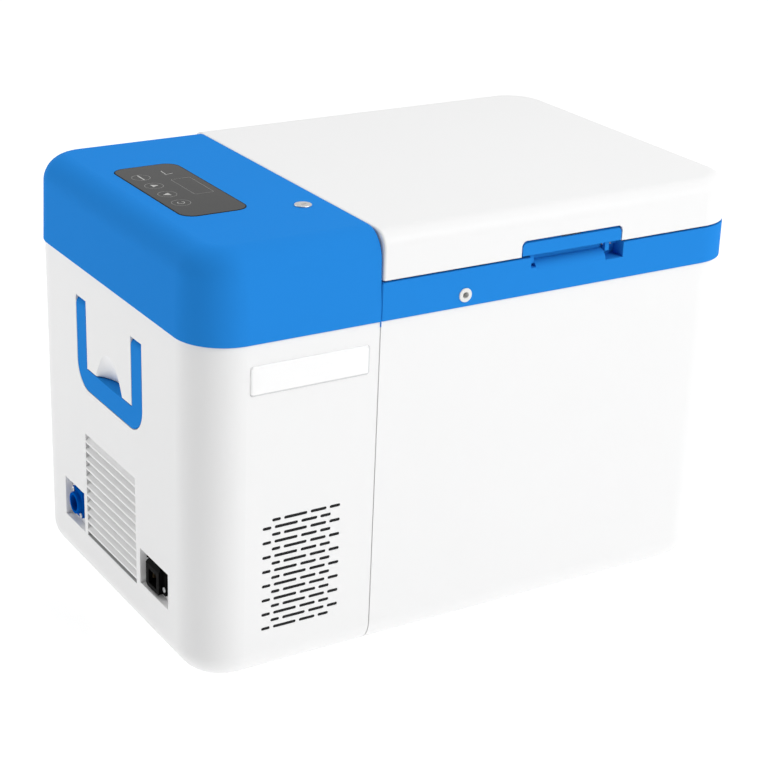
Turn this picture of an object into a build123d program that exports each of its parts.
from build123d import *
import os
from math import cos, radians, sin

# Portable ultra-low freezer: a chest with the machine compartment on the left, under
# a blue cap, and the storage well on the right, under a white lid. Millimetres.
# X runs along the front, Y from front to back, Z up.
# The origin lies on the floor, under the centre of the whole outline.

# Cabinet
body_length = 640.0
body_depth = 410.0
foot_height = 8.0
casing_height = 360.0
band_height = 39.3
lid_height = 50.2
cap_step = 1.0
seam_from_left = 194.5
corner_radius = 51.0
casing_step = 1.5
front_setback = 5.0
bottom_radius = 32.0
wall = 3.0
seam_gap = 1.2
band_gap = 0.6

# Cap and lid edges
cap_roll = 28.0
cap_draft = 2.0
lid_roll = 18.0
lid_gap = 2.2
lid_end_gap = 1.4
lid_end_round = 2.5

# Locating lip under the cap and the band
lip_height = 6.0
lip_thickness = 2.0
lip_clearance = 0.3

# Storage well
well_length = 295.0
well_width = 260.0
well_floor_height = 70.0
well_corner = 25.0
liner_wall = 1.5
liner_flange = 10.0
jacket_wall = 1.5
jacket_channel_depth = 3.0
jacket_channel_height = 10.0
jacket_channels = 5
jacket_inset = 25.0
bond_gap = 0.3
foam_gap = 0.3

# Lid inside
plug_clearance = 3.0
plug_depth = 28.0
plug_wall = 2.0
flange_rise = 2.5
gasket_width = 12.0
gasket_gap = 0.3
gasket_offset = 9.0

# Carry handles, one in a channel of each end wall
handle_from_front = 129.0
handle_span = 158.4
handle_low_height = 228.0
handle_height = 97.0
handle_arm_width = 23.5
handle_bar_height = 23.5
handle_depth = 16.0
handle_outer_radius = 28.0
handle_inner_radius = 2.0
handle_arm_flat = 0.2
handle_clearance = 1.0
handle_channel_depth = 22.0
handle_top_clearance = 1.5
handle_boss_margin = 6.0
handle_pin_radius = 2.5
pin_clearance = 0.05
handle_pin_bite = 4.5
scoop_radius = 46.0
scoop_depth = 13.0
scoop_height = 33.0
island_core_inset = 9.0
island_core_height = 36.0

# Side louvre
louvre_from_front = 149.0
louvre_length = 124.7
louvre_low_height = 55.4
louvre_slats = 11
louvre_pitch = 10.4
louvre_slot = 5.0
louvre_depth = 8.0
louvre_rise = 8.0
louvre_slat_thickness = 2.2
louvre_rim = 3.0

# Front air slots, in a brick pattern
slot_from_left = 70.0
slot_low_height = 54.8
slot_rows = 16
slot_pitch = 7.91
slot_height = 3.3
slot_shift = 10.3
slot_runs = [(0.0, 9.6), (13.2, 25.6), (42.6, 17.8), (64.0, 11.8)]

# Inlet recesses in the left wall
inlet_recess_depth = 8.0
inlet_floor = 3.0
ac_recess_from_front = 281.6
ac_recess_length = 51.3
ac_recess_low = 55.3
ac_recess_height = 45.8
ac_from_front = 312.0
ac_height_above = 77.0
ac_flange_length = 26.0
ac_flange_height = 31.0
ac_flange_thickness = 3.5
ac_nose_radius = 12.0
ac_nose_length = 4.2
ac_bore_radius = 9.0
ac_bore_depth = 16.0
ac_end_radius = 8.0
ac_end_depth = 4.0
ac_body_radius = 11.5
ac_body_length = 26.0
ac_screw_spacing_y = 19.0
ac_screw_spacing_z = 24.0
dc_recess_from_front = 74.0
dc_recess_length = 65.6
dc_recess_low = 61.2
dc_recess_height = 39.5
dc_from_front = 113.8
dc_height_above = 80.5
dc_block_length = 30.5
dc_block_height = 33.0
dc_block_proud = 6.5
dc_block_chamfer = 5.0
dc_bevel_depth = 4.5
dc_bevel_height = 7.0
dc_flange_length = 46.0
dc_flange_height = 30.0
dc_flange_thickness = 2.0
dc_cavity_length = 18.0
dc_cavity_height = 16.0
dc_cavity_drop = 3.5
dc_cavity_depth = 14.0
dc_body_length = 24.0
dc_body_height = 27.0
dc_body_depth = 20.0
dc_screw_offset = 19.0
dc_screw_drop = 8.0
inlet_hole_clearance = 0.5
contact_width = 6.0
contact_thickness = 1.5
contact_length = 10.0
contact_spacing = 14.0
pin_contact_radius = 1.5
pin_contact_circle = 5.5
pin_contact_length = 3.0
inlet_screw_head = 2.8
inlet_screw_shank = 1.5

# Control glass and what lies under it
glass_from_left = 45.0
glass_from_front = 120.0
glass_width = 72.0
glass_length = 174.5
glass_radius = 15.0
glass_thickness = 2.0
glass_clearance = 0.3
glass_proud = 0.4
display_from_glass_left = 31.5
display_from_glass_front = 53.0
display_width = 24.0
display_length = 67.0
display_thickness = 6.0
display_board_margin = 4.0
board_thickness = 1.6
boss_radius = 3.0
boss_inset = 7.0

# Key switch
key_from_left = 166.4
key_from_front = 106.8
key_flange_radius = 8.8
key_flange_height = 1.5
key_body_radius = 6.5
key_body_length = 24.0
key_barrel_radius = 4.5
key_clearance = 0.06
key_barrel_length = 20.0
keyway_width = 1.6
keyway_length = 6.4
keyway_depth = 8.0
key_nut_across = 18.0
key_nut_height = 4.0
key_hole_clearance = 0.25

# Front plate, bare
plate_from_left = 55.0
plate_length = 125.0
plate_drop = 23.4
plate_height = 27.6
plate_thickness = 2.5
plate_bevel = 1.4

# Probe port through the front wall of the well
port_from_well_middle = 127.45
port_height_above_band = 12.6
port_flange_radius = 7.2
port_flange_thickness = 1.2
port_tube_radius = 5.0
port_bore_radius = 3.3
port_fit = 0.1

# Lid latch
latch_length = 122.0
latch_height = 13.2
latch_side_gap = 1.3
latch_top_gap = 2.6
latch_low_gap = 0.7
latch_thickness = 3.0
latch_corner = 6.0
latch_pivot_depth = 6.5
latch_pivot_drop = 2.7
latch_knuckle_radius = 4.2
latch_pin_radius = 1.5
latch_pin_clearance = 0.06
latch_box_depth = 20.0
latch_box_wall = 2.5
latch_box_rise = 3.0
spring_half_length = 12.0
spring_radius = 3.1
spring_clearance = 0.3
hook_spacing = 93.5
hook_width = 5.0
hook_front = 4.0
hook_back = 8.5
hook_drop = 10.5
nose_height = 3.5
nose_tip = 1.5
keeper_gap = 0.4
scoop_length = 86.0
scoop_lip_drop = 14.5
scoop_back = 10.0
scoop_knee = 5.0
scoop_bulge = 2.0
notch_width = 7.0
notch_drop = 11.0
pocket_width = 22.0
pocket_drop = 16.0
catch_depth = 13.0
catch_undercut = 17.0
keeper_thickness = 1.8
keeper_length = 118.0
keeper_width = 16.0
keeper_screw_spacing = 70.0
keeper_screw_setback = 11.0
grip_ribs = 20
grip_rib_radius = 0.8
grip_rib_pitch = 4.0

# Lid hinges
hinge_spacing = 250.0
hinge_width = 50.0
hinge_pin_radius = 2.5
hinge_knuckle_radius = 5.0
hinge_axis_offset = 6.5
hinge_leaf_thickness = 2.0
hinge_leaf_height = 26.0
hinge_middle_share = 20.0
hinge_knuckle_gap = 0.4
hinge_screw_spacing = 28.0
hinge_screw_head = 3.5
hinge_screw_head_height = 2.0
hinge_screw_shank = 1.8

# Feet
foot_inset = 62.0
foot_top_radius = 15.0
foot_bottom_radius = 13.0
foot_recess_radius = 5.5
foot_recess_depth = 4.0
foot_screw_radius = 2.0
foot_screw_head = 4.5
foot_screw_head_height = 2.0

# Machine compartment
pillar_height = 5.0
pillar_radius = 5.0
base_plate_thickness = 2.0
base_plate_inset = 36.0
base_plate_rim = 8.0
compressor_from_left = 118.0
compressor_from_back = 98.0
compressor_radius = 56.0
compressor_height = 150.0
compressor_crown = 90.0
compressor_knuckle = 14.0
compressor_port_drop = 42.0
compressor_flange = 4.0
compressor_foot_radius = 9.0
compressor_foot_circle = 66.0
compressor_foot_thickness = 3.0
mount_height = 12.0
mount_radius = 7.0
mount_bolt_radius = 2.5
mount_bolt_clearance = 0.2
condenser_from_left = 66.0
condenser_from_front = 44.0
condenser_length = 100.0
condenser_height = 120.0
condenser_depth = 18.0
condenser_tubes = 9
condenser_tube_thickness = 2.5
condenser_tube_depth = 14.0
condenser_header_radius = 8.0
condenser_fin_pitch = 10.0
condenser_fin_thickness = 0.8
fan_size = 120.0
fan_thickness = 25.0
fan_duct_radius = 57.0
fan_corner_radius = 6.0
fan_hub_radius = 20.0
fan_hub_plate = 3.0
fan_hub_cover = 3.0
fan_strut_width = 5.0
fan_blade_clearance = 1.5
fan_blades = 7
fan_blade_pitch = 38.0
fan_blade_twist = 8.0
fan_blade_chord = 24.0
fan_blade_thickness = 1.8
fan_shaft_radius = 2.0
fan_shaft_clearance = 0.05
fan_rotor_gap = 1.0
supply_from_front = 60.0
supply_length = 150.0
supply_low_height = 205.0
supply_height = 90.0
supply_depth = 38.0
supply_slots = 12
supply_slot_pitch = 11.0
supply_slot_depth = 2.0
supply_bevel = 1.5
control_from_front = 235.0
control_length = 130.0
control_low_height = 232.0
control_height = 95.0
standoff_length = 8.0
standoff_radius = 3.0
standoff_inset = 8.0
control_part_height = 12.0
line_radius = 3.0
suction_radius = 4.0
drier_radius = 9.0
drier_length = 70.0
drier_neck = 14.0
drier_stub_radius = 4.0
drier_rise = 34.0

# Places that follow from the sizes
left_x = -body_length / 2
right_x = body_length / 2
seam_x = left_x + seam_from_left
base_z = foot_height
band_z = base_z + casing_height
deck_z = band_z + band_height
lid_low_z = deck_z + lid_gap
lid_top_z = deck_z + lid_height
cap_low_z = band_z + band_gap
cap_top_z = lid_top_z + cap_step
plate_low_height = casing_height - plate_drop - plate_height
plate_setback = front_setback * plate_drop / casing_height
plate_lead = plate_thickness - casing_step - plate_setback
hinge_reach = hinge_axis_offset + hinge_knuckle_radius
front_lead = max(plate_lead, port_flange_thickness)
front_y = (front_lead - body_depth - hinge_reach) / 2
back_y = front_y + body_depth
centre_y = front_y + body_depth / 2
casing_left = left_x + casing_step
casing_right = right_x - casing_step
casing_back = back_y - casing_step
storage_left = seam_x + seam_gap / 2
machine_right = seam_x - seam_gap / 2
well_x = (seam_x + right_x) / 2
well_floor_z = base_z + well_floor_height


def casing_front(height):
    """Y of the white front wall at a height: it leans back towards the floor."""
    return front_y + casing_step + front_setback * (band_z - height) / casing_height


def casing_block(inset):
    """Outline of the two white casings, drawn in by inset, with its rolled lower edge."""
    back = casing_back - inset
    with BuildPart() as block:
        for height in (base_z + inset, band_z):
            front = casing_front(height) + inset
            with BuildSketch(Plane.XY.offset(height)):
                with Locations((0, (front + back) / 2)):
                    Rectangle(2 * (casing_right - inset), back - front)
        loft(ruled=True)
        uprights = block.edges().filter_by(lambda edge: abs(edge.tangent_at(0).Z) > 0.9)
        fillet(uprights, corner_radius - casing_step - inset)
        fillet(block.edges().group_by(Axis.Z)[0], bottom_radius - inset)
    return block.part


def plan_block(inset, low_z, high_z):
    """Outline of cap, band and lid, drawn in by inset, between two heights."""
    with BuildPart() as block:
        with BuildSketch(Plane.XY.offset(low_z)):
            with Locations((0, centre_y)):
                RectangleRounded(body_length - 2 * inset, body_depth - 2 * inset, corner_radius - inset)
        extrude(amount=high_z - low_z)
    return block.part


def cap_block(inset):
    """Cap outline drawn in by inset: its walls lean in and its top edge has a large roll all round."""
    with BuildPart() as block:
        with BuildSketch(Plane.XY.offset(cap_low_z)):
            with Locations((0, centre_y)):
                RectangleRounded(body_length - 2 * inset, body_depth - 2 * inset, corner_radius - inset)
        extrude(amount=cap_top_z - inset - cap_low_z, taper=cap_draft)
        fillet(block.edges().group_by(Axis.Z)[-1], cap_roll - inset)
    return block.part


def locating_lip():
    """Lip that drops inside the casings all round, with the ring that carries it."""
    outer = casing_step + wall + lip_clearance
    with BuildPart() as lip:
        add(plan_block(outer, band_z - lip_height, cap_low_z + wall))
        add(plan_block(wall / 2, cap_low_z, cap_low_z + wall))
        add(plan_block(outer + lip_thickness, band_z - lip_height, cap_low_z + wall), mode=Mode.SUBTRACT)
    return lip.part


def well_block(margin, low_z, high_z):
    """Rounded block round the storage well, larger than it by margin on each side."""
    with BuildPart() as block:
        with BuildSketch(Plane.XY.offset(low_z)):
            with Locations((well_x, centre_y)):
                RectangleRounded(well_length + 2 * margin, well_width + 2 * margin, well_corner + margin)
        extrude(amount=high_z - low_z)
    return block.part


def side_plane(depth):
    """Plane in the left wall, depth inside its outer face: local X runs to the front, local Y up."""
    return Plane(origin=(casing_left + depth, front_y, base_z), x_dir=(0, -1, 0), z_dir=(-1, 0, 0))


def wall_block(plane, centre, size, depth):
    """Block from a plane to the inside by depth; centre is distance from the front and height."""
    with BuildPart() as block:
        with BuildSketch(plane):
            with Locations((-centre[0], centre[1])):
                Rectangle(size[0], size[1])
        extrude(amount=-depth)
    return block.part


def screw_set(plane, spots, shank_length):
    """Pan-head hinge screws on a plane, heads out along its normal and shanks the other way."""
    with BuildPart() as screws:
        with BuildSketch(plane):
            with Locations(*spots):
                Circle(hinge_screw_head)
        extrude(amount=hinge_screw_head_height)
        with BuildSketch(plane):
            with Locations(*spots):
                Circle(hinge_screw_shank)
        extrude(amount=-shank_length)
    return screws


def bent_tube(points, bend, radius):
    """Tube of one radius along straight runs joined by bends of one radius."""
    start = Plane(origin=points[0], z_dir=Vector(*points[1]) - Vector(*points[0]))
    with BuildPart() as tube:
        with BuildLine():
            FilletPolyline(*points, radius=bend)
        with BuildSketch(start):
            Circle(radius)
        sweep()
    return tube


def save(piece, name):
    """Label a finished piece and write it as its own STEP file."""
    piece.part.label = name
    export_step(piece.part, f"parts/{name}.step")


os.makedirs("parts", exist_ok=True)
casing_outer = casing_block(0.0)
casing_inner = casing_block(wall)
left_half = Plane.YZ.offset(machine_right)
right_half = Plane.YZ.offset(storage_left)

# Handle channel: a thick pad inside the end wall, a U-shaped channel cut into it
# from outside, and a dished finger scoop in the island that the U leaves.
handle_mid = handle_from_front + handle_span / 2
handle_mid_height = handle_low_height + handle_height / 2
handle_top_height = handle_low_height + handle_height
handle_pivot_z = base_z + handle_top_height - handle_depth / 2
handle_pivot_x = casing_left + handle_depth / 2
channel_top = handle_top_height + handle_top_clearance
pad_depth = handle_channel_depth + wall
island_span = handle_span - 2 * handle_arm_width - 2 * handle_clearance
island_low = handle_low_height + handle_bar_height + handle_clearance
scoop_low_z = base_z + island_low
scoop_x = casing_left + scoop_depth - scoop_radius

with BuildPart() as handle_pad:
    with BuildSketch(side_plane(wall / 2)):
        with Locations((-handle_mid, handle_mid_height)):
            RectangleRounded(
                handle_span + 2 * (handle_clearance + handle_boss_margin),
                handle_height + 2 * (handle_clearance + handle_boss_margin),
                handle_outer_radius / 2,
            )
    extrude(amount=wall / 2 - pad_depth)

with BuildPart() as handle_channel:
    with BuildSketch(side_plane(0)):
        with Locations((-handle_mid, (handle_low_height - handle_clearance + channel_top) / 2)):
            Rectangle(handle_span + 2 * handle_clearance, channel_top - handle_low_height + handle_clearance)
    extrude(amount=-handle_channel_depth)
    low_edges = handle_channel.edges().filter_by(Axis.X).group_by(Axis.Z)[0]
    fillet(low_edges, handle_outer_radius + handle_clearance)
    with BuildSketch(side_plane(0)):
        with Locations((-handle_mid, (island_low + channel_top) / 2)):
            Rectangle(island_span, channel_top - island_low)
    extrude(amount=-handle_channel_depth, mode=Mode.SUBTRACT)
    for height, shift in ((0.0, 0.0), (scoop_height, -scoop_depth)):
        with BuildSketch(Plane.XY.offset(scoop_low_z + height)):
            with Locations((scoop_x + shift, front_y + handle_mid)):
                Circle(scoop_radius)
    loft(ruled=True)
    with BuildSketch(side_plane(wall)):
        with Locations((-handle_mid, channel_top - island_core_height / 2)):
            Rectangle(island_span - 2 * island_core_inset, island_core_height - 2 * island_core_inset)
    extrude(amount=wall - pad_depth)

pin_length = handle_arm_width + 2 * (handle_clearance + handle_pin_bite)
arm_centres = [
    handle_from_front + handle_arm_width / 2,
    handle_from_front + handle_span - handle_arm_width / 2,
]
with BuildPart() as handle_pins_left:
    for arm_centre in arm_centres:
        with BuildSketch(Plane.XZ.offset(-(front_y + arm_centre) - pin_length / 2)):
            with Locations((handle_pivot_x, handle_pivot_z)):
                Circle(handle_pin_radius)
        extrude(amount=pin_length)
save(handle_pins_left, "handle_pins_left")
with BuildPart() as handle_pins_right:
    add(mirror(handle_pins_left.part, about=Plane.YZ))
save(handle_pins_right, "handle_pins_right")

with BuildPart() as handle_left:
    with BuildSketch(side_plane(0)):
        with Locations((-handle_mid, handle_mid_height)):
            Rectangle(handle_span, handle_height)
    extrude(amount=-handle_depth)
    fillet(handle_left.edges().filter_by(Axis.X).group_by(Axis.Z)[0], handle_outer_radius)
    with BuildSketch(side_plane(0)) as grip_gap:
        gap_low = handle_low_height + handle_bar_height
        with Locations((-handle_mid, (gap_low + handle_top_height) / 2)):
            Rectangle(handle_span - 2 * handle_arm_width, handle_top_height - gap_low)
        fillet(grip_gap.vertices().group_by(Axis.Y)[0], handle_inner_radius)
    extrude(amount=-handle_depth, mode=Mode.SUBTRACT)
    arm_tops = handle_left.edges().filter_by(Axis.Y).group_by(Axis.Z)[-1]
    fillet(arm_tops, (handle_depth - handle_arm_flat) / 2)
    with BuildSketch(Plane.XZ.offset(-front_y - handle_from_front - handle_span)):
        with Locations((handle_pivot_x, handle_pivot_z)):
            Circle(handle_pin_radius + pin_clearance)
    extrude(amount=handle_span, mode=Mode.SUBTRACT)
save(handle_left, "handle_left")
with BuildPart() as handle_right:
    add(mirror(handle_left.part, about=Plane.YZ))
save(handle_right, "handle_right")

# Inlet recesses in the left wall, with the holes that the inlets pass through
ac_recess_mid = (ac_recess_from_front + ac_recess_length / 2, ac_recess_low + ac_recess_height / 2)
dc_recess_mid = (dc_recess_from_front + dc_recess_length / 2, dc_recess_low + dc_recess_height / 2)
boss_depth = inlet_recess_depth + inlet_floor - wall / 2
recess_rim = 2 * inlet_floor

# Side louvre, counted up from its open bottom slot
louvre_mid = louvre_from_front + louvre_length / 2
louvre_height = louvre_slot + louvre_slats * louvre_pitch
louvre_mid_height = louvre_low_height + louvre_height / 2
rim_depth = louvre_depth - wall / 2

# Plane of the leaning front wall, for what is set into it
front_wall = Plane(
    origin=(left_x, casing_front(base_z), base_z),
    x_dir=(1, 0, 0),
    z_dir=(0, -casing_height, -front_setback),
)

# Inlet places and their screws
recess_face = side_plane(inlet_recess_depth)
ac_place = (-ac_from_front, ac_height_above)
ac_front = side_plane(inlet_recess_depth - ac_flange_thickness - ac_nose_length)
ac_screw_spots = [
    (-ac_from_front - ac_screw_spacing_y / 2, ac_height_above + ac_screw_spacing_z / 2),
    (-ac_from_front + ac_screw_spacing_y / 2, ac_height_above - ac_screw_spacing_z / 2),
]
dc_screw_spots = [
    (-dc_from_front - dc_screw_offset, dc_height_above + dc_screw_drop),
    (-dc_from_front + dc_screw_offset, dc_height_above - dc_screw_drop),
]
with BuildPart() as inlet_screws:
    with BuildSketch(side_plane(inlet_recess_depth - ac_flange_thickness)):
        with Locations(*ac_screw_spots):
            Circle(inlet_screw_head)
    extrude(amount=inlet_screw_shank)
    with BuildSketch(side_plane(inlet_recess_depth - dc_flange_thickness)):
        with Locations(*dc_screw_spots):
            Circle(inlet_screw_head)
    extrude(amount=inlet_screw_shank)
    with BuildSketch(side_plane(inlet_recess_depth + inlet_floor)):
        with Locations(*ac_screw_spots, *dc_screw_spots):
            Circle(inlet_screw_shank)
    extrude(amount=inlet_floor + dc_flange_thickness)
    with BuildSketch(recess_face):
        with Locations(*ac_screw_spots):
            Circle(inlet_screw_shank)
    extrude(amount=ac_flange_thickness)
save(inlet_screws, "inlet_screws")

with BuildPart() as machine_housing:
    add(casing_outer)
    add(casing_inner, mode=Mode.SUBTRACT)
    split(bisect_by=left_half, keep=Keep.BOTTOM)
    add(handle_pad.part)
    add(handle_channel.part, mode=Mode.SUBTRACT)
    add(handle_pins_left.part, mode=Mode.SUBTRACT)
    add(wall_block(side_plane(wall / 2), ac_recess_mid,
                   (ac_recess_length + recess_rim, ac_recess_height + recess_rim), boss_depth))
    add(wall_block(side_plane(wall / 2), dc_recess_mid,
                   (dc_recess_length + recess_rim, dc_recess_height + recess_rim), boss_depth))
    add(wall_block(side_plane(wall / 2), (louvre_mid, louvre_mid_height),
                   (louvre_length + 2 * louvre_rim, louvre_height + 2 * louvre_rim), rim_depth))
    add(wall_block(side_plane(0), ac_recess_mid, (ac_recess_length, ac_recess_height),
                   inlet_recess_depth), mode=Mode.SUBTRACT)
    add(wall_block(side_plane(0), dc_recess_mid, (dc_recess_length, dc_recess_height),
                   inlet_recess_depth), mode=Mode.SUBTRACT)
    add(wall_block(side_plane(0), (louvre_mid, louvre_mid_height),
                   (louvre_length, louvre_height), louvre_depth), mode=Mode.SUBTRACT)
    with BuildSketch(side_plane(0)):
        with Locations((-ac_from_front, ac_height_above)):
            Circle(ac_body_radius + inlet_hole_clearance)
        with Locations((-dc_from_front, dc_height_above)):
            Rectangle(dc_body_length + 2 * inlet_hole_clearance, dc_body_height + 2 * inlet_hole_clearance)
    extrude(amount=-inlet_recess_depth - 2 * inlet_floor, mode=Mode.SUBTRACT)
    with BuildSketch(Plane.XZ.offset(-front_y - louvre_from_front - louvre_length)):
        for slat in range(louvre_slats):
            slat_z = base_z + louvre_low_height + louvre_slot + slat * louvre_pitch
            with BuildLine():
                Polyline(
                    (casing_left, slat_z),
                    (casing_left, slat_z + louvre_slat_thickness),
                    (casing_left + louvre_depth, slat_z + louvre_slat_thickness + louvre_rise),
                    (casing_left + louvre_depth, slat_z + louvre_rise),
                    close=True,
                )
            make_face()
    extrude(amount=louvre_length)
    with BuildSketch(front_wall):
        for row in range(slot_rows):
            shift = slot_from_left + slot_shift * (row % 2)
            for start, length in slot_runs:
                with Locations((shift + start + length / 2, slot_low_height + row * slot_pitch)):
                    SlotOverall(length, slot_height)
    extrude(amount=-2 * wall, mode=Mode.SUBTRACT)
    pillar_inset = base_plate_inset + pillar_radius
    pillar_spots = [
        (x, y)
        for x in (casing_left + pillar_inset, machine_right - 3 * pillar_radius)
        for y in (casing_front(base_z) + pillar_inset, casing_back - pillar_inset)
    ]
    with BuildSketch(Plane.XY.offset(base_z + wall / 2)):
        with Locations(*pillar_spots):
            Circle(pillar_radius)
    extrude(amount=wall / 2 + pillar_height)
    foot_spots = [
        (side * (right_x - foot_inset), y)
        for side in (-1, 1)
        for y in (front_y + foot_inset, back_y - foot_inset)
    ]
    with BuildSketch(Plane.XY.offset(base_z)):
        with Locations(*foot_spots):
            Circle(foot_screw_radius)
    extrude(amount=wall, mode=Mode.SUBTRACT)
    add(inlet_screws.part, mode=Mode.SUBTRACT)
save(machine_housing, "machine_housing")

with BuildPart() as storage_core:
    add(casing_inner)
    split(bisect_by=Plane.YZ.offset(storage_left + wall), keep=Keep.TOP)

with BuildPart() as storage_casing:
    add(casing_outer)
    split(bisect_by=right_half, keep=Keep.TOP)
    add(storage_core.part, mode=Mode.SUBTRACT)
    add(mirror(handle_pad.part, about=Plane.YZ))
    add(mirror(handle_channel.part, about=Plane.YZ), mode=Mode.SUBTRACT)
    add(handle_pins_right.part, mode=Mode.SUBTRACT)
    with BuildSketch(Plane.XY.offset(base_z)):
        with Locations(*foot_spots):
            Circle(foot_screw_radius)
    extrude(amount=wall, mode=Mode.SUBTRACT)
save(storage_casing, "storage_casing")

# Blue cap over the machine compartment
glass_centre = (left_x + glass_from_left + glass_width / 2, front_y + glass_from_front + glass_length / 2)
display_centre = (
    left_x + glass_from_left + display_from_glass_left + display_width / 2,
    front_y + glass_from_front + display_from_glass_front + display_length / 2,
)
key_spot = (left_x + key_from_left, front_y + key_from_front)
ceiling_z = cap_top_z - wall
board_top_z = cap_top_z + glass_proud - glass_thickness - display_thickness - 2 * bond_gap
board_length = glass_length - 2 * display_board_margin
board_width = glass_width - 2 * display_board_margin

with BuildPart() as cap_core:
    add(cap_block(wall))
    split(bisect_by=Plane.YZ.offset(machine_right - wall), keep=Keep.BOTTOM)

with BuildPart() as cap_lip:
    add(locating_lip())
    split(bisect_by=Plane.YZ.offset(machine_right - wall / 2), keep=Keep.BOTTOM)

with BuildPart() as top_cap:
    add(cap_block(0.0))
    split(bisect_by=left_half, keep=Keep.BOTTOM)
    add(cap_core.part, mode=Mode.SUBTRACT)
    add(cap_lip.part)
    with BuildSketch(Plane.XY.offset(cap_top_z)):
        with Locations(glass_centre):
            RectangleRounded(
                glass_width + 2 * glass_clearance,
                glass_length + 2 * glass_clearance,
                glass_radius + glass_clearance,
            )
    extrude(amount=glass_proud - glass_thickness, mode=Mode.SUBTRACT)
    with BuildSketch(Plane.XY.offset(cap_top_z)):
        with Locations(display_centre):
            Rectangle(display_width + 2 * glass_clearance, display_length + 2 * glass_clearance)
        with Locations(key_spot):
            Circle(key_body_radius + key_hole_clearance)
    extrude(amount=-2 * wall, mode=Mode.SUBTRACT)
    with BuildSketch(Plane.XY.offset(ceiling_z)):
        with Locations(glass_centre):
            with GridLocations(board_width - 2 * boss_inset, board_length - 2 * boss_inset, 2, 2):
                Circle(boss_radius)
    extrude(amount=board_top_z - ceiling_z)
save(top_cap, "top_cap")

with BuildPart() as control_glass:
    with BuildSketch(Plane.XY.offset(cap_top_z + glass_proud)):
        with Locations(glass_centre):
            RectangleRounded(glass_width, glass_length, glass_radius)
    extrude(amount=-glass_thickness)
    chamfer(control_glass.edges().group_by(Axis.Z)[-1], glass_proud)
save(control_glass, "control_glass")

with BuildPart() as display_module:
    with BuildSketch(Plane.XY.offset(board_top_z + bond_gap)):
        with Locations(display_centre):
            Rectangle(display_width, display_length)
    extrude(amount=display_thickness)
save(display_module, "display_module")

with BuildPart() as display_board:
    with BuildSketch(Plane.XY.offset(board_top_z - board_thickness)):
        with Locations(glass_centre):
            RectangleRounded(board_width, board_length, boss_radius)
    extrude(amount=board_thickness)
save(display_board, "display_board")

# Key switch: body with a flange, a barrel that turns in it and a nut under the cap
with BuildPart() as key_switch_body:
    with BuildSketch(Plane.XY.offset(cap_top_z)):
        with Locations(key_spot):
            Circle(key_flange_radius)
    extrude(amount=key_flange_height)
    fillet(key_switch_body.edges().group_by(Axis.Z)[-1], key_flange_height / 2)
    with BuildSketch(Plane.XY.offset(cap_top_z)):
        with Locations(key_spot):
            Circle(key_body_radius)
    extrude(amount=-key_body_length)
    with BuildSketch(Plane.XY.offset(cap_top_z + key_flange_height)):
        with Locations(key_spot):
            Circle(key_barrel_radius + key_clearance)
    extrude(amount=-key_barrel_length, mode=Mode.SUBTRACT)
save(key_switch_body, "key_switch_body")

with BuildPart() as key_barrel:
    with BuildSketch(Plane.XY.offset(cap_top_z + key_flange_height)):
        with Locations(key_spot):
            Circle(key_barrel_radius)
    extrude(amount=key_clearance - key_barrel_length)
    with BuildSketch(Plane.XY.offset(cap_top_z + key_flange_height)):
        with Locations(key_spot):
            Rectangle(keyway_length, keyway_width)
    extrude(amount=-keyway_depth, mode=Mode.SUBTRACT)
save(key_barrel, "key_barrel")

with BuildPart() as key_switch_nut:
    with BuildSketch(Plane.XY.offset(ceiling_z)):
        with Locations(key_spot):
            RegularPolygon(key_nut_across / 2, 6, major_radius=False)
            Circle(key_body_radius + key_clearance, mode=Mode.SUBTRACT)
    extrude(amount=-key_nut_height)
save(key_switch_nut, "key_switch_nut")

# Bare plate on the leaning front wall
with BuildPart() as front_plate:
    with BuildSketch(front_wall):
        with Locations((plate_from_left + plate_length / 2, plate_low_height + plate_height / 2)):
            Rectangle(plate_length, plate_height)
    extrude(amount=plate_thickness)
    chamfer(front_plate.edges().group_by(Axis.Y)[0], plate_bevel)
save(front_plate, "front_plate")

# Steel keeper let in under the deck, which the hooks of the latch catch below
keeper_mid = (well_x, front_y + catch_depth + keeper_width / 2)
keeper_screw_y = front_y + catch_depth + keeper_screw_setback
keeper_screw_spots = [(well_x + side * keeper_screw_spacing / 2, keeper_screw_y) for side in (-1, 1)]

with BuildPart() as keeper_screws:
    with BuildSketch(Plane.XY.offset(deck_z)):
        with Locations(*keeper_screw_spots):
            Circle(inlet_screw_head)
    extrude(amount=-wall / 2)
    with BuildSketch(Plane.XY.offset(deck_z)):
        with Locations(*keeper_screw_spots):
            Circle(inlet_screw_shank)
    extrude(amount=-wall - keeper_thickness)
save(keeper_screws, "keeper_screws")

with BuildPart() as latch_keeper:
    with BuildSketch(Plane.XY.offset(deck_z - wall - keeper_thickness)):
        with Locations(keeper_mid):
            Rectangle(keeper_length, keeper_width)
    extrude(amount=keeper_thickness)
    add(keeper_screws.part, mode=Mode.SUBTRACT)
save(latch_keeper, "latch_keeper")

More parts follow.
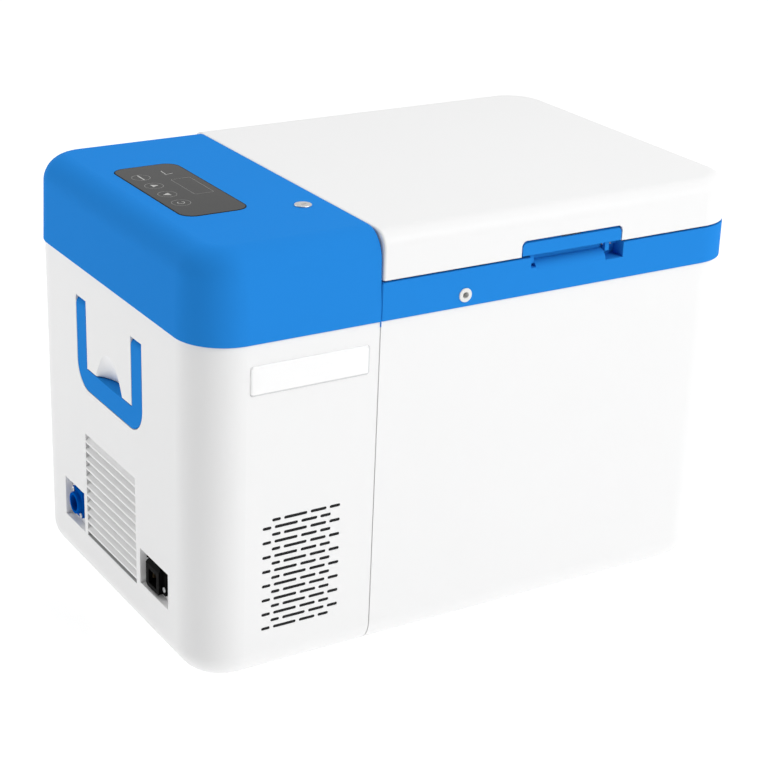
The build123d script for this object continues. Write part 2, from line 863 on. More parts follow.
# Hinge screws, which the band, the lid and the hinges are bored for
hinge_axis_y = back_y + hinge_axis_offset
hinge_axis_z = deck_z + lid_gap / 2
hinge_spots = [well_x - hinge_spacing / 2, well_x + hinge_spacing / 2]
rear_plane = Plane(origin=(0, back_y, 0), x_dir=(-1, 0, 0), z_dir=(0, 1, 0))
outer_length = (hinge_width - hinge_middle_share) / 2
base_screw_z = hinge_axis_z - hinge_knuckle_radius - hinge_leaf_height / 2
leaf_screw_z = hinge_axis_z + hinge_knuckle_radius + hinge_leaf_height / 2
screw_offsets = [-hinge_screw_spacing / 2, hinge_screw_spacing / 2]
screw_face = rear_plane.offset(hinge_leaf_thickness)
base_screws = [(-spot + offset, base_screw_z) for spot in hinge_spots for offset in screw_offsets]
leaf_screws = [(-spot + offset, leaf_screw_z) for spot in hinge_spots for offset in screw_offsets]
screw_reach = hinge_leaf_thickness + wall

hinge_base_screws = screw_set(screw_face, base_screws, screw_reach)
save(hinge_base_screws, "hinge_base_screws")
hinge_leaf_screws = screw_set(screw_face, leaf_screws, screw_reach)
save(hinge_leaf_screws, "hinge_leaf_screws")

# Blue band: outer ring, deck round the well, finger pocket and catch slots of the latch
latch_x = well_x
hook_spots = [latch_x - hook_spacing / 2, latch_x + hook_spacing / 2]
keeper_drop = wall + keeper_thickness
scoop_left = latch_x - scoop_length / 2
scoop_right = latch_x + scoop_length / 2
pocket_left = scoop_left - notch_width
pocket_right = scoop_right + pocket_width
catch_pockets = [
    (pocket_left, notch_width, notch_drop),
    (scoop_right, pocket_width, pocket_drop),
]
port_z = band_z + port_height_above_band
port_x = well_x - port_from_well_middle
well_front = centre_y - well_width / 2
front_plane = Plane.XZ.offset(-front_y)

with BuildPart() as band_lip:
    add(locating_lip())
    split(bisect_by=Plane.YZ.offset(storage_left + wall + lip_clearance), keep=Keep.TOP)

with BuildPart() as band_core:
    add(plan_block(wall, cap_low_z, deck_z - wall))
    split(bisect_by=Plane.YZ.offset(storage_left + wall), keep=Keep.TOP)

with BuildPart() as collar_band:
    add(plan_block(0.0, cap_low_z, deck_z))
    split(bisect_by=right_half, keep=Keep.TOP)
    add(band_core.part, mode=Mode.SUBTRACT)
    add(band_lip.part)
    add(well_block(0.0, cap_low_z, deck_z), mode=Mode.SUBTRACT)
    with BuildSketch(Plane.XY.offset(deck_z - pocket_drop - latch_box_wall)):
        pocket_back = catch_undercut + latch_box_wall
        with Locations(((pocket_left + pocket_right) / 2, front_y + (pocket_back + wall / 2) / 2)):
            Rectangle(pocket_right - pocket_left + 2 * latch_box_wall, pocket_back - wall / 2)
    extrude(amount=pocket_drop + latch_box_wall - wall / 2)
    with BuildSketch(Plane.YZ.offset(scoop_left)):
        scoop_lip = (front_y, deck_z - scoop_lip_drop)
        scoop_end = (front_y + scoop_back, deck_z - scoop_knee)
        with BuildLine():
            SagittaArc(scoop_lip, scoop_end, scoop_bulge)
            Polyline(scoop_end, (front_y + scoop_back, deck_z), (front_y, deck_z), scoop_lip)
        make_face()
    extrude(amount=scoop_length, mode=Mode.SUBTRACT)
    for low_x, width, drop in catch_pockets:
        with BuildSketch(front_plane):
            with Locations((low_x + width / 2, deck_z - drop / 2)):
                Rectangle(width, drop)
        extrude(amount=-catch_depth, mode=Mode.SUBTRACT)
        with BuildSketch(front_plane):
            with Locations((low_x + width / 2, deck_z - (drop + keeper_drop) / 2)):
                Rectangle(width, drop - keeper_drop)
        extrude(amount=-catch_undercut, mode=Mode.SUBTRACT)
    with BuildSketch(front_plane):
        with Locations((port_x, port_z)):
            Circle(port_tube_radius + port_fit)
    extrude(amount=-2 * wall, mode=Mode.SUBTRACT)
    add(latch_keeper.part, mode=Mode.SUBTRACT)
    add(keeper_screws.part, mode=Mode.SUBTRACT)
    add(hinge_base_screws.part, mode=Mode.SUBTRACT)
save(collar_band, "collar_band")

# Storage well: metal liner with a flange under the deck, evaporator jacket, insulation
liner_top_z = deck_z - wall
jacket_low_z = well_floor_z + jacket_inset
jacket_high_z = liner_top_z - jacket_inset - liner_flange
jacket_inner = liner_wall + bond_gap
jacket_outer = jacket_inner + jacket_wall
channel_outer = jacket_outer + jacket_channel_depth

with BuildPart() as inner_liner:
    add(well_block(liner_wall, well_floor_z - liner_wall, liner_top_z))
    add(well_block(liner_flange, liner_top_z - liner_wall, liner_top_z))
    add(well_block(0.0, well_floor_z, liner_top_z), mode=Mode.SUBTRACT)
    with BuildSketch(Plane.XZ.offset(-well_front)):
        with Locations((port_x, port_z)):
            Circle(port_tube_radius + port_fit)
    extrude(amount=2 * liner_flange, both=True, mode=Mode.SUBTRACT)
save(inner_liner, "inner_liner")

with BuildPart() as evaporator_jacket:
    add(well_block(jacket_outer, jacket_low_z, jacket_high_z))
    channel_step = (jacket_high_z - jacket_low_z - jacket_channel_height) / (jacket_channels - 1)
    for channel in range(jacket_channels):
        channel_z = jacket_low_z + channel * channel_step
        add(well_block(channel_outer, channel_z, channel_z + jacket_channel_height))
    add(well_block(jacket_inner, jacket_low_z, jacket_high_z), mode=Mode.SUBTRACT)
save(evaporator_jacket, "evaporator_jacket")

# Probe port: a flanged tube through band, insulation and liner
with BuildPart() as probe_port:
    with BuildSketch(front_plane):
        with Locations((port_x, port_z)):
            Circle(port_flange_radius)
    extrude(amount=port_flange_thickness)
    fillet(probe_port.edges().group_by(Axis.Y)[0], port_flange_thickness / 2)
    with BuildSketch(front_plane):
        with Locations((port_x, port_z)):
            Circle(port_tube_radius)
    extrude(amount=front_y - well_front)
    with BuildSketch(Plane.XZ.offset(-well_front)):
        with Locations((port_x, port_z)):
            Circle(port_bore_radius)
    extrude(amount=well_front - front_y + 2 * port_flange_thickness, mode=Mode.SUBTRACT)
save(probe_port, "probe_port")

inner_lip = casing_step + wall + lip_clearance + lip_thickness
with BuildPart() as insulation_core:
    add(plan_block(inner_lip + foam_gap, band_z - 2 * lip_height, liner_top_z - foam_gap))
    split(bisect_by=Plane.YZ.offset(storage_left + wall + foam_gap), keep=Keep.TOP)

with BuildPart() as cabinet_insulation:
    add(casing_block(wall + foam_gap))
    split(bisect_by=Plane.YZ.offset(storage_left + wall + foam_gap), keep=Keep.TOP)
    with BuildSketch(Plane.XY.offset(band_z - 2 * lip_height)):
        with Locations((0, centre_y)):
            Rectangle(2 * body_length, 2 * body_depth)
    extrude(amount=body_depth, mode=Mode.SUBTRACT)
    add(insulation_core.part)
    for margin, low_z, high_z in (
        (liner_wall, well_floor_z - liner_wall, liner_top_z),
        (liner_flange, liner_top_z - liner_wall, liner_top_z),
        (channel_outer, jacket_low_z, jacket_high_z + foam_gap),
    ):
        add(well_block(margin + foam_gap, low_z - foam_gap, high_z), mode=Mode.SUBTRACT)
    with BuildSketch(Plane.YZ.offset(casing_right)):
        with Locations((front_y + handle_mid, base_z + handle_mid_height)):
            Rectangle(
                handle_span + 2 * (handle_clearance + handle_boss_margin + foam_gap),
                handle_height + 2 * (handle_clearance + handle_boss_margin + foam_gap),
            )
    extrude(amount=-pad_depth - foam_gap, mode=Mode.SUBTRACT)
    with BuildSketch(Plane.XY.offset(deck_z - pocket_drop - latch_box_wall - foam_gap)):
        with Locations((well_x, front_y + (catch_depth + keeper_width + wall) / 2)):
            Rectangle(keeper_length + 2 * keeper_width, catch_depth + keeper_width + wall)
    extrude(amount=pocket_drop + latch_box_wall, mode=Mode.SUBTRACT)
    with BuildSketch(Plane.XZ.offset(-well_front)):
        with Locations((port_x, port_z)):
            Circle(port_tube_radius + foam_gap)
    extrude(amount=2 * liner_flange, both=True, mode=Mode.SUBTRACT)
    with BuildSketch(front_plane):
        with Locations((port_x, port_z)):
            Circle(port_tube_radius + foam_gap)
    extrude(amount=front_y - well_front, mode=Mode.SUBTRACT)
save(cabinet_insulation, "cabinet_insulation")

# Lid: outer shell with the latch box, liner with the plug, insulation and gasket
lid_left = seam_x + lid_end_gap
flange_low_z = lid_low_z + flange_rise
latch_low_z = lid_low_z + latch_low_gap
latch_high_z = latch_low_z + latch_height
latch_pivot_y = front_y + latch_pivot_depth
latch_pivot_z = latch_high_z - latch_pivot_drop
box_half = latch_length / 2 + latch_side_gap
cutout_high_z = latch_high_z + latch_top_gap
box_high_z = cutout_high_z + latch_box_rise

with BuildPart() as lid_core:
    add(plan_block(wall, lid_low_z, lid_top_z - wall))
    fillet(lid_core.edges().group_by(Axis.Z)[-1], lid_roll - wall)
    split(bisect_by=Plane.YZ.offset(lid_left + wall), keep=Keep.TOP)

with BuildPart() as lid_shell:
    add(plan_block(0.0, lid_low_z, lid_top_z))
    fillet(lid_shell.edges().group_by(Axis.Z)[-1], lid_roll)
    split(bisect_by=Plane.YZ.offset(lid_left), keep=Keep.TOP)
    fillet(lid_shell.edges().filter_by(Axis.Y).group_by(Axis.Z)[-1].sort_by(Axis.X)[0], lid_end_round)
    add(lid_core.part, mode=Mode.SUBTRACT)
    with BuildSketch(front_plane.offset(-wall / 2)):
        with Locations((latch_x, (lid_low_z + box_high_z + latch_box_wall) / 2)):
            Rectangle(2 * (box_half + latch_box_wall), box_high_z + latch_box_wall - lid_low_z)
    extrude(amount=wall / 2 - latch_box_depth - latch_box_wall)
    with BuildSketch(front_plane.offset(-wall)):
        with Locations((latch_x, (lid_low_z + box_high_z) / 2)):
            Rectangle(2 * box_half, box_high_z - lid_low_z)
    extrude(amount=wall - latch_box_depth, mode=Mode.SUBTRACT)
    with BuildSketch(front_plane) as cutout:
        with Locations((latch_x, (lid_low_z + cutout_high_z) / 2)):
            Rectangle(2 * box_half, cutout_high_z - lid_low_z)
        fillet(cutout.vertices().group_by(Axis.Y)[-1], latch_corner)
    extrude(amount=-wall, mode=Mode.SUBTRACT)
    with BuildSketch(Plane.YZ.offset(latch_x - box_half - latch_box_wall)):
        with Locations((latch_pivot_y, latch_pivot_z)):
            Circle(latch_pin_radius)
    extrude(amount=2 * (box_half + latch_box_wall), mode=Mode.SUBTRACT)
    add(hinge_leaf_screws.part, mode=Mode.SUBTRACT)
save(lid_shell, "lid_shell")

plug_margin = -plug_clearance
plug_low_z = deck_z - plug_depth
box_margin = latch_box_wall + foam_gap
with BuildPart() as lid_liner:
    add(plan_block(wall + foam_gap, flange_low_z, flange_low_z + plug_wall))
    split(bisect_by=Plane.YZ.offset(lid_left + wall + foam_gap), keep=Keep.TOP)
    with BuildSketch(Plane.XY.offset(flange_low_z)):
        with Locations((latch_x, front_y)):
            Rectangle(2 * (box_half + box_margin), 2 * (latch_box_depth + box_margin))
    extrude(amount=plug_wall, mode=Mode.SUBTRACT)
    add(well_block(plug_margin, plug_low_z, flange_low_z + plug_wall))
    fillet(lid_liner.edges().group_by(Axis.Z)[0], plug_clearance)
    add(
        well_block(plug_margin - plug_wall, plug_low_z + plug_wall, flange_low_z + plug_wall),
        mode=Mode.SUBTRACT,
    )
save(lid_liner, "lid_liner")

with BuildPart() as lid_insulation:
    add(plan_block(wall + foam_gap, flange_low_z + plug_wall, lid_top_z - wall - foam_gap))
    fillet(lid_insulation.edges().group_by(Axis.Z)[-1], lid_roll - wall - foam_gap)
    split(bisect_by=Plane.YZ.offset(lid_left + wall + foam_gap), keep=Keep.TOP)
    with BuildSketch(Plane.XY.offset(flange_low_z)):
        with Locations((latch_x, front_y)):
            Rectangle(2 * (box_half + box_margin), 2 * (latch_box_depth + box_margin))
    extrude(amount=box_high_z + latch_box_wall + foam_gap - flange_low_z, mode=Mode.SUBTRACT)
    plug_inside = plug_margin - plug_wall - foam_gap
    add(well_block(plug_inside, plug_low_z + plug_wall + foam_gap, flange_low_z + plug_wall))
save(lid_insulation, "lid_insulation")

with BuildPart() as lid_gasket:
    add(well_block(gasket_offset + gasket_width, deck_z + gasket_gap, flange_low_z))
    add(well_block(gasket_offset, deck_z + gasket_gap, flange_low_z), mode=Mode.SUBTRACT)
save(lid_gasket, "lid_gasket")

# Latch: paddle with two hooks on a pin in the latch box, and its spring
with BuildPart() as latch_pin:
    with BuildSketch(Plane.YZ.offset(latch_x - box_half - latch_box_wall)):
        with Locations((latch_pivot_y, latch_pivot_z)):
            Circle(latch_pin_radius)
    extrude(amount=2 * (box_half + latch_box_wall))
save(latch_pin, "latch_pin")

with BuildPart() as latch_spring:
    with BuildSketch(Plane.YZ.offset(latch_x - spring_half_length)):
        with Locations((latch_pivot_y, latch_pivot_z)):
            Circle(spring_radius)
            Circle(latch_pin_radius + latch_pin_clearance, mode=Mode.SUBTRACT)
    extrude(amount=2 * spring_half_length)
save(latch_spring, "latch_spring")

with BuildPart() as latch_paddle:
    with BuildSketch(front_plane) as paddle_face:
        with Locations((latch_x, (latch_low_z + latch_high_z) / 2)):
            Rectangle(latch_length, latch_height)
        fillet(paddle_face.vertices().group_by(Axis.Y)[-1], latch_corner - latch_side_gap)
    extrude(amount=-latch_thickness)
    knuckle_length = latch_length / 2 - spring_half_length - spring_clearance
    for low_x in (latch_x - latch_length / 2, latch_x + spring_half_length + spring_clearance):
        with BuildSketch(Plane.YZ.offset(low_x)):
            with Locations((latch_pivot_y, latch_pivot_z)):
                Circle(latch_knuckle_radius)
        extrude(amount=knuckle_length)
    for hook_x in hook_spots:
        with BuildSketch(Plane.YZ.offset(hook_x - hook_width / 2)):
            hook_low = latch_low_z - hook_drop
            nose_back = front_y + catch_depth - keeper_gap
            with BuildLine():
                Polyline(
                    (front_y + latch_thickness / 2, latch_pivot_z),
                    (front_y + latch_thickness / 2, latch_low_z + latch_thickness),
                    (front_y + hook_front, latch_low_z),
                    (front_y + hook_front, hook_low),
                    (front_y + hook_back, hook_low),
                    (nose_back, hook_low + nose_height - nose_tip),
                    (nose_back, hook_low + nose_height),
                    (front_y + hook_back, hook_low + nose_height),
                    (front_y + hook_back, latch_pivot_z),
                    close=True,
                )
            make_face()
        extrude(amount=hook_width)
    with BuildSketch(front_plane):
        with Locations((latch_x, latch_low_z)):
            with GridLocations(grip_rib_pitch, 1.0, grip_ribs, 1):
                Circle(grip_rib_radius)
    extrude(amount=-latch_thickness)
    with BuildSketch(Plane.YZ.offset(latch_x - latch_length / 2)):
        with Locations((latch_pivot_y, latch_pivot_z)):
            Circle(latch_pin_radius + latch_pin_clearance)
    extrude(amount=latch_length, mode=Mode.SUBTRACT)
save(latch_paddle, "latch_paddle")

# Lid hinges behind the rear wall: bases on the band, leaves on the lid, one pin each


def hinge_leaf(side, knuckles):
    """Leaves on the rear wall below the hinge axis (side -1) or above it (side 1), bored for the pin."""
    leaf_mid_z = hinge_axis_z + side * (hinge_knuckle_radius + hinge_leaf_height / 2)
    with BuildPart() as leaves:
        with BuildSketch(rear_plane):
            with Locations(*[(-spot, leaf_mid_z) for spot in hinge_spots]):
                Rectangle(hinge_width, hinge_leaf_height)
        extrude(amount=hinge_leaf_thickness)
        for spot in hinge_spots:
            for start, length in knuckles:
                with BuildSketch(Plane.YZ.offset(spot + start)):
                    with Locations((hinge_axis_y, hinge_axis_z)):
                        Circle(hinge_knuckle_radius)
                    web_z = hinge_axis_z + side * hinge_knuckle_radius / 2
                    with Locations((back_y + hinge_axis_offset / 2, web_z)):
                        Rectangle(hinge_axis_offset, hinge_knuckle_radius)
                extrude(amount=length)
        with BuildSketch(Plane.YZ.offset(seam_x)):
            with Locations((hinge_axis_y, hinge_axis_z)):
                Circle(hinge_pin_radius + pin_clearance)
        extrude(amount=body_length, mode=Mode.SUBTRACT)
    return leaves


base_knuckles = [
    (-hinge_width / 2, outer_length - hinge_knuckle_gap),
    (hinge_middle_share / 2 + hinge_knuckle_gap, outer_length - hinge_knuckle_gap),
]
leaf_knuckles = [(-hinge_middle_share / 2, hinge_middle_share)]

with BuildPart() as hinge_pins:
    for spot in hinge_spots:
        with BuildSketch(Plane.YZ.offset(spot - hinge_width / 2)):
            with Locations((hinge_axis_y, hinge_axis_z)):
                Circle(hinge_pin_radius)
        extrude(amount=hinge_width)
save(hinge_pins, "hinge_pins")

with BuildPart() as hinge_bases:
    add(hinge_leaf(-1, base_knuckles).part)
    add(hinge_base_screws.part, mode=Mode.SUBTRACT)
save(hinge_bases, "hinge_bases")
with BuildPart() as hinge_leaves:
    add(hinge_leaf(1, leaf_knuckles).part)
    add(hinge_leaf_screws.part, mode=Mode.SUBTRACT)
save(hinge_leaves, "hinge_leaves")

# Mains inlet: flange in the recess, round nose with a bore, three contacts at its bottom
with BuildPart() as ac_inlet:
    with BuildSketch(recess_face):
        with Locations(ac_place):
            RectangleRounded(ac_flange_length, ac_flange_height, wall)
    extrude(amount=ac_flange_thickness)
    with BuildSketch(recess_face):
        with Locations(ac_place):
            Circle(ac_nose_radius)
    extrude(amount=ac_flange_thickness + ac_nose_length)
    with BuildSketch(recess_face):
        with Locations(ac_place):
            Circle(ac_body_radius)
    extrude(amount=-ac_body_length)
    with BuildSketch(ac_front):
        with Locations(ac_place):
            Circle(ac_bore_radius)
    extrude(amount=-ac_bore_depth, mode=Mode.SUBTRACT)
    with BuildSketch(ac_front):
        with Locations(ac_place):
            Circle(ac_end_radius)
    extrude(amount=-ac_bore_depth - ac_end_depth, mode=Mode.SUBTRACT)
    add(inlet_screws.part, mode=Mode.SUBTRACT)
save(ac_inlet, "ac_inlet")

with BuildPart() as ac_contacts:
    with BuildSketch(ac_front.offset(-ac_bore_depth - ac_end_depth)):
        with Locations(ac_place):
            with PolarLocations(pin_contact_circle, 3):
                Circle(pin_contact_radius)
    extrude(amount=pin_contact_length)
save(ac_contacts, "ac_contacts")

# Direct-current inlet: flange, block with a rectangular cavity, two blades
dc_place = (-dc_from_front, dc_height_above)
dc_cavity_place = (-dc_from_front, dc_height_above - dc_cavity_drop)
with BuildPart() as dc_inlet:
    with BuildSketch(recess_face):
        with Locations(dc_place):
            RectangleRounded(dc_flange_length, dc_flange_height, wall)
    extrude(amount=dc_flange_thickness)
    with BuildSketch(recess_face) as block_face:
        with Locations(dc_place):
            Rectangle(dc_block_length, dc_block_height)
        chamfer(block_face.vertices().group_by(Axis.Y)[-1], dc_block_chamfer)
        chamfer(block_face.vertices().group_by(Axis.Y)[0], dc_block_chamfer / 2)
    extrude(amount=dc_block_proud)
    with BuildSketch(recess_face):
        with Locations(dc_place):
            Rectangle(dc_body_length, dc_body_height)
    extrude(amount=-dc_body_depth)
    with BuildSketch(Plane.XZ.offset(-front_y - dc_from_front - dc_block_length / 2)):
        block_x = casing_left + inlet_recess_depth - dc_block_proud
        block_top_z = base_z + dc_height_above + dc_block_height / 2
        with BuildLine():
            Polyline(
                (block_x, block_top_z),
                (block_x, block_top_z - dc_bevel_height),
                (block_x + dc_bevel_depth, block_top_z),
                close=True,
            )
        make_face()
    extrude(amount=dc_block_length, mode=Mode.SUBTRACT)
    with BuildSketch(recess_face.offset(dc_block_proud)):
        with Locations(dc_cavity_place):
            Rectangle(dc_cavity_length, dc_cavity_height)
    extrude(amount=-dc_cavity_depth, mode=Mode.SUBTRACT)
    add(inlet_screws.part, mode=Mode.SUBTRACT)
save(dc_inlet, "dc_inlet")

with BuildPart() as dc_contacts:
    with BuildSketch(recess_face.offset(dc_block_proud - dc_cavity_depth)):
        with Locations(dc_cavity_place):
            with GridLocations(contact_spacing, 1.0, 2, 1):
                Rectangle(contact_thickness, contact_width)
    extrude(amount=contact_length)
save(dc_contacts, "dc_contacts")

# Feet and their screws
with BuildPart() as rubber_feet:
    with BuildSketch(Plane.XY.offset(foot_height)):
        with Locations(*foot_spots):
            Circle(foot_top_radius)
    extrude(amount=-foot_height / 2)
    with BuildSketch(Plane.XY):
        with Locations(*foot_spots):
            Circle(foot_bottom_radius)
    extrude(amount=foot_height / 2)
    with BuildSketch(Plane.XY):
        with Locations(*foot_spots):
            Circle(foot_recess_radius)
    extrude(amount=foot_recess_depth, mode=Mode.SUBTRACT)
    with BuildSketch(Plane.XY):
        with Locations(*foot_spots):
            Circle(foot_screw_radius)
    extrude(amount=foot_height, mode=Mode.SUBTRACT)
save(rubber_feet, "rubber_feet")

with BuildPart() as foot_screws:
    with BuildSketch(Plane.XY.offset(foot_recess_depth)):
        with Locations(*foot_spots):
            Circle(foot_screw_head)
    extrude(amount=-foot_screw_head_height)
    with BuildSketch(Plane.XY.offset(foot_recess_depth)):
        with Locations(*foot_spots):
            Circle(foot_screw_radius)
    extrude(amount=base_z + wall - foot_recess_depth)
save(foot_screws, "foot_screws")

# Base plate: folded steel tray on the four pillars of the machine housing
plate_low_x = casing_left + base_plate_inset
plate_high_x = machine_right - pillar_radius
plate_low_y = casing_front(base_z) + base_plate_inset
plate_high_y = casing_back - base_plate_inset
base_plate_z = base_z + wall + pillar_height
plate_top_z = base_plate_z + base_plate_thickness
plate_middle = ((plate_low_x + plate_high_x) / 2, (plate_low_y + plate_high_y) / 2)

with BuildPart() as base_plate:
    with BuildSketch(Plane.XY.offset(base_plate_z)):
        with Locations(plate_middle):
            Rectangle(plate_high_x - plate_low_x, plate_high_y - plate_low_y)
    extrude(amount=base_plate_rim)
    with BuildSketch(Plane.XY.offset(plate_top_z)):
        with Locations(plate_middle):
            Rectangle(
                plate_high_x - plate_low_x - 2 * base_plate_thickness,
                plate_high_y - plate_low_y - 2 * base_plate_thickness,
            )
    extrude(amount=base_plate_rim, mode=Mode.SUBTRACT)
save(base_plate, "base_plate")

# Compressor: domed shell on a foot plate, on four rubber mounts
compressor_spot = (left_x + compressor_from_left, back_y - compressor_from_back)
shell_low_z = plate_top_z + mount_height + compressor_foot_thickness
shell_high_z = shell_low_z + compressor_height
foot_circle = [
    (sx * compressor_foot_circle * cos(radians(45)), sy * compressor_foot_circle * sin(radians(45)))
    for sx in (-1, 1)
    for sy in (-1, 1)
]

shell_plane = Plane(
    origin=(compressor_spot[0], compressor_spot[1], shell_low_z),
    x_dir=(1, 0, 0),
    z_dir=(0, -1, 0),
)
with BuildPart() as compressor:
    with BuildSketch(shell_plane) as half_shell:
        with Locations((compressor_radius / 2, compressor_height / 2)):
            Rectangle(compressor_radius, compressor_height)
        with Locations((0, compressor_height - compressor_crown)):
            Circle(compressor_crown, mode=Mode.INTERSECT)
        fillet(half_shell.vertices().group_by(Axis.X)[-1], compressor_knuckle)
    revolve(axis=Axis((compressor_spot[0], compressor_spot[1], 0), (0, 0, 1)))
    with BuildSketch(Plane.XY.offset((shell_low_z + shell_high_z) / 2)):
        with Locations(compressor_spot):
            Circle(compressor_radius + compressor_flange)
    extrude(amount=compressor_foot_thickness)
    with BuildSketch(Plane.XY.offset(shell_low_z - compressor_foot_thickness)):
        with Locations(compressor_spot):
            RectangleRounded(
                2 * (compressor_foot_circle * cos(radians(45)) + compressor_foot_radius),
                2 * (compressor_foot_circle * sin(radians(45)) + compressor_foot_radius),
                compressor_foot_radius,
            )
            with Locations(*foot_circle):
                Circle(mount_bolt_radius + mount_bolt_clearance, mode=Mode.SUBTRACT)
    extrude(amount=compressor_foot_thickness)
save(compressor, "compressor")

with BuildPart() as compressor_mounts:
    with BuildSketch(Plane.XY.offset(plate_top_z)):
        with Locations(compressor_spot):
            with Locations(*foot_circle):
                Circle(mount_radius)
    extrude(amount=mount_height)
    with BuildSketch(Plane.XY.offset(plate_top_z + mount_height)):
        with Locations(compressor_spot):
            with Locations(*foot_circle):
                Circle(mount_bolt_radius)
    extrude(amount=2 * compressor_foot_thickness)
save(compressor_mounts, "compressor_mounts")

# Condenser behind the front slots: two headers, flat tubes, fins
condenser_x = left_x + condenser_from_left + condenser_length / 2
condenser_y = front_y + condenser_from_front + condenser_depth / 2
header_spots = [(condenser_x + side * condenser_length / 2, condenser_y) for side in (-1, 1)]
tube_step = (condenser_height - 2 * condenser_header_radius) / (condenser_tubes - 1)
tube_low_z = plate_top_z + condenser_header_radius - condenser_tube_thickness / 2

with BuildPart() as condenser:
    with BuildSketch(Plane.XY.offset(plate_top_z)):
        with Locations(*header_spots):
            Circle(condenser_header_radius)
    extrude(amount=condenser_height)
    for tube in range(condenser_tubes):
        with BuildSketch(Plane.XY.offset(tube_low_z + tube * tube_step)):
            with Locations((condenser_x, condenser_y)):
                Rectangle(condenser_length, condenser_tube_depth)
        extrude(amount=condenser_tube_thickness)
    fin_count = int((condenser_length - 2 * condenser_header_radius) / condenser_fin_pitch)
    with BuildSketch(Plane.XY.offset(tube_low_z)):
        with Locations((condenser_x, condenser_y)):
            with GridLocations(condenser_fin_pitch, 1.0, fin_count, 1):
                Rectangle(condenser_fin_thickness, condenser_depth)
    extrude(amount=tube_step * (condenser_tubes - 1) + condenser_tube_thickness)
save(condenser, "condenser")

# Fan behind the louvre: square frame with a duct, struts and a shaft; rotor with blades
fan_spot = (-louvre_mid, louvre_mid_height)
fan_back = side_plane(louvre_depth + fan_thickness)
fan_y = front_y + louvre_mid
fan_z = base_z + louvre_mid_height
fan_low_x = casing_left + louvre_depth
fan_bore_length = fan_thickness - fan_rotor_gap - fan_hub_cover

with BuildPart() as fan_frame:
    with BuildSketch(fan_back):
        with Locations(fan_spot):
            RectangleRounded(fan_size, fan_size, fan_corner_radius)
            Circle(fan_duct_radius, mode=Mode.SUBTRACT)
    extrude(amount=fan_thickness)
    with BuildSketch(fan_back):
        with Locations(fan_spot):
            Circle(fan_hub_radius)
            Rectangle(2 * fan_duct_radius + fan_strut_width, fan_strut_width)
            Rectangle(fan_strut_width, 2 * fan_duct_radius + fan_strut_width)
    extrude(amount=fan_hub_plate)
    with BuildSketch(fan_back):
        with Locations(fan_spot):
            Circle(fan_shaft_radius)
    extrude(amount=fan_bore_length - fan_rotor_gap / 2)
save(fan_frame, "fan_frame")

rotor_depth = fan_thickness - fan_hub_plate - 2 * fan_rotor_gap
blade_tip = fan_duct_radius - fan_blade_clearance
blade_sections = [
    (fan_hub_radius - fan_blade_thickness, fan_blade_pitch + fan_blade_twist),
    (blade_tip, fan_blade_pitch - fan_blade_twist),
]
hub_mid_x = fan_low_x + fan_rotor_gap + rotor_depth / 2


def blade_plane(turn, distance, pitch):
    """Plane across one blade at a distance from the fan axis, its chord turned by the pitch angle."""
    out = Vector(0, cos(radians(turn)), sin(radians(turn)))
    around = Vector(0, -sin(radians(turn)), cos(radians(turn)))
    chord = around * cos(radians(pitch)) + Vector(1, 0, 0) * sin(radians(pitch))
    return Plane(origin=Vector(hub_mid_x, fan_y, fan_z) + out * distance, x_dir=chord, z_dir=out)


with BuildPart() as fan_rotor:
    with BuildSketch(side_plane(louvre_depth + fan_rotor_gap)):
        with Locations(fan_spot):
            Circle(fan_hub_radius)
    extrude(amount=-rotor_depth)
    for blade in range(fan_blades):
        turn = blade * 360 / fan_blades
        for distance, pitch in blade_sections:
            with BuildSketch(blade_plane(turn, distance, pitch)):
                Rectangle(fan_blade_chord, fan_blade_thickness)
        loft(ruled=True)
    with BuildSketch(fan_back):
        with Locations(fan_spot):
            Circle(fan_shaft_radius + fan_shaft_clearance)
    extrude(amount=fan_bore_length, mode=Mode.SUBTRACT)
save(fan_rotor, "fan_rotor")

# Power supply and control board on the wall of the storage casing
mount_wall = Plane(origin=(storage_left, front_y, base_z), x_dir=(0, -1, 0), z_dir=(-1, 0, 0))
supply_mid = (-supply_from_front - supply_length / 2, supply_low_height + supply_height / 2)
control_mid = (-control_from_front - control_length / 2, control_low_height + control_height / 2)

with BuildPart() as power_supply:
    with BuildSketch(mount_wall):
        with Locations(supply_mid):
            Rectangle(supply_length, supply_height)
    extrude(amount=supply_depth)
    chamfer(power_supply.faces().sort_by(Axis.X)[0].edges(), supply_bevel)
    with BuildSketch(mount_wall.offset(supply_depth)):
        with Locations(supply_mid):
            with GridLocations(supply_slot_pitch, 1.0, supply_slots, 1):
                Rectangle(supply_slot_pitch / 2, supply_height / 2)
    extrude(amount=-supply_slot_depth, mode=Mode.SUBTRACT)
save(power_supply, "power_supply")

with BuildPart() as board_standoffs:
    with BuildSketch(mount_wall):
        with Locations(control_mid):
            standoff_pitch = (control_length - 2 * standoff_inset, control_height - 2 * standoff_inset)
            with GridLocations(*standoff_pitch, 2, 2):
                Circle(standoff_radius)
    extrude(amount=standoff_length)
save(board_standoffs, "board_standoffs")

with BuildPart() as control_board:
    with BuildSketch(mount_wall.offset(standoff_length)):
        with Locations(control_mid):
            Rectangle(control_length, control_height)
    extrude(amount=board_thickness)
    with BuildSketch(mount_wall.offset(standoff_length + board_thickness)):
        with Locations(control_mid):
            with GridLocations(control_length / 3, control_height / 2, 3, 2):
                Rectangle(control_length / 6, control_height / 5)
    extrude(amount=control_part_height)
save(control_board, "control_board")

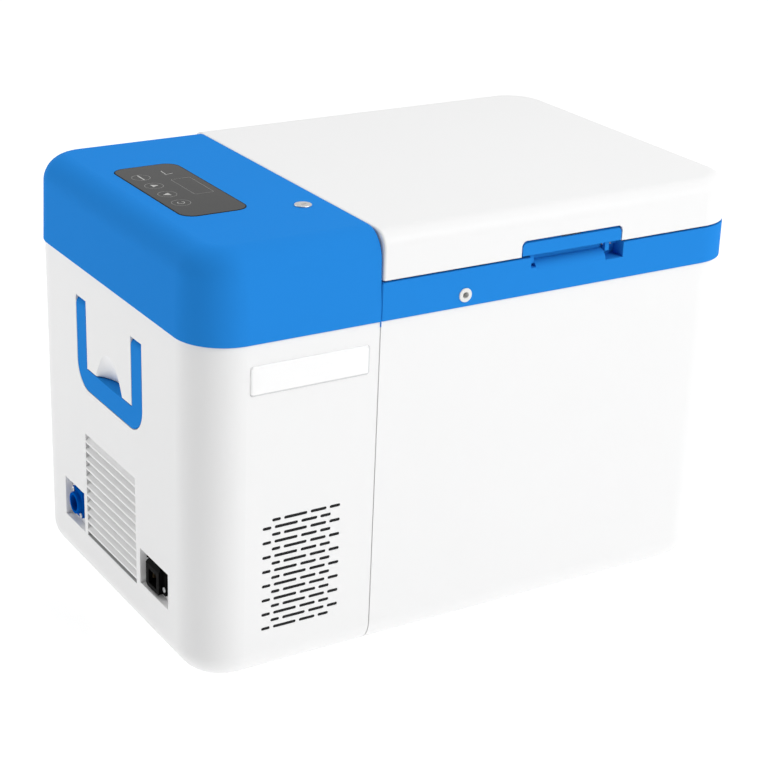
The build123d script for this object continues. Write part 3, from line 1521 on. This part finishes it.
# Refrigerant lines: compressor to condenser, condenser to drier, drier to well, well to compressor
header_x = condenser_x + condenser_length / 2
drier_y = (front_y + condenser_from_front + compressor_spot[1]) / 2
drier_low_z = plate_top_z + drier_rise
outlet_z = plate_top_z + condenser_header_radius
line_bend = 4 * line_radius
port_height = shell_high_z - compressor_port_drop
crossing_z = shell_high_z + 3 * line_bend
turn_y = compressor_spot[1] - compressor_radius - 3 * line_bend
liquid_z = drier_low_z + drier_length + 3 * line_bend

with BuildPart() as filter_drier:
    with BuildSketch(Plane(origin=(header_x, drier_y, 0), x_dir=(1, 0, 0), z_dir=(0, -1, 0))):
        with BuildLine():
            Polyline(
                (0, drier_low_z),
                (drier_stub_radius, drier_low_z),
                (drier_radius, drier_low_z + drier_neck),
                (drier_radius, drier_low_z + drier_length - drier_neck),
                (drier_stub_radius, drier_low_z + drier_length),
                (0, drier_low_z + drier_length),
                close=True,
            )
        make_face()
    revolve(axis=Axis((header_x, drier_y, 0), (0, 0, 1)))
save(filter_drier, "filter_drier")

discharge_points = [
    (compressor_spot[0], compressor_spot[1] - compressor_radius, port_height),
    (compressor_spot[0], turn_y, port_height),
    (header_x, turn_y, port_height + 2 * line_bend),
    (header_x, condenser_y, port_height + 2 * line_bend),
    (header_x, condenser_y, plate_top_z + condenser_height),
]
discharge_line = bent_tube(discharge_points, line_bend, line_radius)
save(discharge_line, "discharge_line")

outlet_points = [
    (header_x, condenser_y + condenser_header_radius, outlet_z),
    (header_x, drier_y, outlet_z),
    (header_x, drier_y, drier_low_z),
]
outlet_line = bent_tube(outlet_points, line_bend, line_radius)
save(outlet_line, "outlet_line")

liquid_points = [
    (header_x, drier_y, drier_low_z + drier_length),
    (header_x, drier_y, liquid_z),
    (storage_left, drier_y, liquid_z),
]
liquid_line = bent_tube(liquid_points, line_bend, line_radius)
save(liquid_line, "liquid_line")

suction_points = [
    (compressor_spot[0], compressor_spot[1], shell_high_z),
    (compressor_spot[0], compressor_spot[1], crossing_z),
    (storage_left, compressor_spot[1], crossing_z),
]
suction_line = bent_tube(suction_points, line_bend, suction_radius)
save(suction_line, "suction_line")
